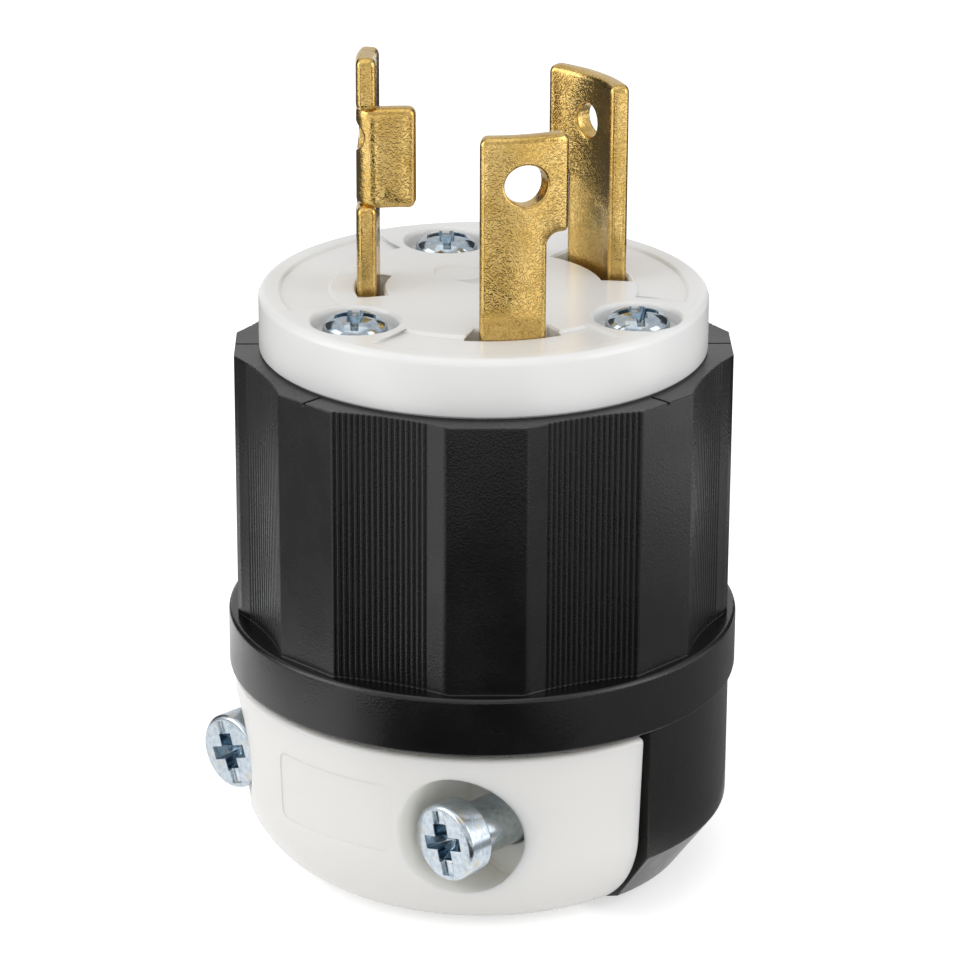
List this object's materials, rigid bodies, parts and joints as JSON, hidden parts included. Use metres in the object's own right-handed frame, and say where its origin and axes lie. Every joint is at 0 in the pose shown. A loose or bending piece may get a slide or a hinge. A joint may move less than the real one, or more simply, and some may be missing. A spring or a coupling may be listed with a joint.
{
  "type": "locking power plug",
  "caption": "Locking power plug with curved brass blades, a fluted black sleeve and a cord clamp closed by screws.",
  "frame": {"origin": "on the plug's axis, in the plane of the cord end that it stands on", "axes": "+Z along the axis towards the blades, -Y towards the moving clamp jaw and its screw heads"},
  "size_m": [0.0508, 0.0508, 0.0833],
  "materials": {
    "black_nylon": "fine grained, satin",
    "white_nylon": "smooth moulded, slightly glossy",
    "jaw_nylon": "smooth moulded, slightly worn",
    "blade_brass": "satin, stamped",
    "insert_brass": "turned",
    "zinc_steel": "zinc plated"
  },
  "bodies": {
    "housing": {"grip_body": "black_nylon", "face_disc": "white_nylon", "terminal_block": "white_nylon", "line_blade": "blade_brass", "neutral_blade": "blade_brass", "ground_blade": "blade_brass", "face_screw_rear": "zinc_steel", "face_screw_left": "zinc_steel", "face_screw_right": "zinc_steel", "face_insert_rear": "insert_brass", "face_insert_left": "insert_brass", "face_insert_right": "insert_brass", "clamp_insert_left": "insert_brass", "clamp_insert_right": "insert_brass", "line_wire_plate": "zinc_steel", "neutral_wire_plate": "zinc_steel", "ground_wire_plate": "zinc_steel", "line_terminal_screw": "zinc_steel", "neutral_terminal_screw": "zinc_steel", "ground_terminal_screw": "zinc_steel"},
    "jaw": {"clamp_jaw": "jaw_nylon"},
    "clamp_screw_left": {"clamp_screw_left": "zinc_steel"},
    "clamp_screw_right": {"clamp_screw_right": "zinc_steel"}
  },
  "joints": [
    {"name": "jaw_slide", "type": "slide", "parent": "housing", "child": "jaw", "axis": [0, 1, 0], "range_m": [0, 0.0009]},
    {"name": "clamp_screw_left_slide", "type": "slide", "parent": "housing", "child": "clamp_screw_left", "axis": [0, 1, 0], "range_m": [0, 0.0058]},
    {"name": "clamp_screw_right_slide", "type": "slide", "parent": "housing", "child": "clamp_screw_right", "axis": [0, 1, 0], "range_m": [0, 0.0058]}
  ]
}
